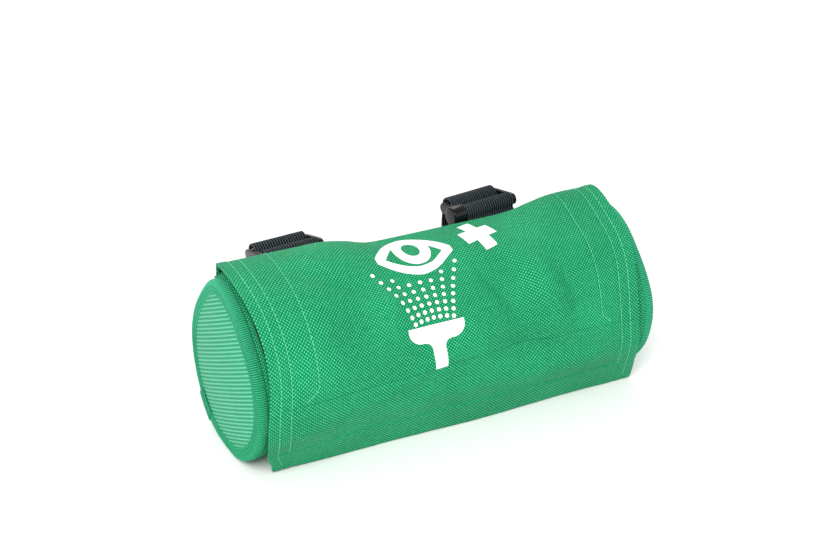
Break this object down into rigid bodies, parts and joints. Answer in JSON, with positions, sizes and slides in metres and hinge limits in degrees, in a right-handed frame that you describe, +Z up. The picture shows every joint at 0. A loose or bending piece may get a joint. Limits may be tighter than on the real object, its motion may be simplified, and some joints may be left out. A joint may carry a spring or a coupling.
{
  "type": "eyewash belt pouch",
  "caption": "Drum-shaped green nylon belt pouch with a wrap-over hook-and-loop flap, holding a squeeze bottle of eyewash saline with an eye cup.",
  "frame": {"origin": "middle of the flat that the pouch rests on, under its long axis", "axes": "+X along the pouch towards the bottle's eye cup, -Y the front that the flap covers, +Z up"},
  "size_m": [0.2194, 0.1062, 0.0915],
  "materials": {
    "nylon": "coated woven nylon",
    "end_nylon": "ribbed nylon over foam",
    "binding": "grosgrain tape",
    "hook": "hook tape",
    "loop": "napped loop tape",
    "print": "screen-printed ink",
    "webbing": "ribbed polypropylene webbing",
    "ring": "moulded acetal",
    "bottle": "blow-moulded polyethylene",
    "saline": "clear liquid",
    "label": "film label",
    "insert": "moulded polyethylene",
    "gasket": "soft rubber",
    "cup": "moulded polypropylene",
    "cap": "moulded polypropylene"
  },
  "bodies": {
    "pouch": {"pouch_wall": "nylon", "mouth_binding": "binding", "flap_root_seam": "binding", "front_loop_tape": "loop", "left_end_panel": "end_nylon", "left_end_binding": "binding", "left_loop_tape": "loop", "left_ring_tab": "webbing", "left_belt_strap": "webbing", "left_strap_loop_patch": "loop", "right_end_panel": "end_nylon", "right_end_binding": "binding", "right_loop_tape": "loop", "right_ring_tab": "webbing", "right_belt_strap": "webbing", "right_strap_loop_patch": "loop"},
    "flap": {"flap_panel": "nylon", "front_hook_tape": "hook", "left_hook_tape": "hook", "right_hook_tape": "hook", "flap_print": "print"},
    "bottle": {"bottle_body": "bottle", "saline_fill": "saline", "bottle_label": "label", "spray_insert": "insert", "neck_gasket": "gasket"},
    "cup": {"eye_cup": "cup"},
    "cap": {"dust_cap": "cap"},
    "left_ring": {"left_strap_ring": "ring"},
    "left_tail": {"left_strap_tail": "webbing", "left_tail_hook_patch": "hook"},
    "right_ring": {"right_strap_ring": "ring"},
    "right_tail": {"right_strap_tail": "webbing", "right_tail_hook_patch": "hook"}
  },
  "joints": [
    {"name": "flap_open", "type": "hinge", "parent": "pouch", "child": "flap", "pos_m": [0, 0.02228, 0.0851], "axis": [-1, 0, 0], "range_deg": [0, 120]},
    {"name": "bottle_lift", "type": "slide", "parent": "pouch", "child": "bottle", "axis": [0, -0.4384, 0.8988], "range_m": [0, 0.1]},
    {"name": "cup_unscrew", "type": "hinge", "parent": "bottle", "child": "cup", "pos_m": [0.06, 0, 0.0368], "axis": [1, 0, 0], "continuous": true},
    {"name": "cap_pull", "type": "slide", "parent": "cup", "child": "cap", "axis": [1, 0, 0], "range_m": [0, 0.013]},
    {"name": "left_ring_rock", "type": "hinge", "parent": "pouch", "child": "left_ring", "pos_m": [-0.062, 0.0341, 0.08312], "axis": [1, 0, 0], "range_deg": [-4, 4]},
    {"name": "left_tail_peel", "type": "hinge", "parent": "pouch", "child": "left_tail", "pos_m": [-0.062, 0.05409, 0.07814], "axis": [1, 0, 0], "range_deg": [0, 100]},
    {"name": "right_ring_rock", "type": "hinge", "parent": "pouch", "child": "right_ring", "pos_m": [0.051, 0.0352, 0.08441], "axis": [1, 0, 0], "range_deg": [-4, 4]},
    {"name": "right_tail_peel", "type": "hinge", "parent": "pouch", "child": "right_tail", "pos_m": [0.051, 0.05553, 0.08055], "axis": [1, 0, 0], "range_deg": [0, 100]}
  ],
  "couplings": [
    {"joint": "bottle_lift", "follows": "flap_open", "m_per_rad": 0.047745}
  ]
}
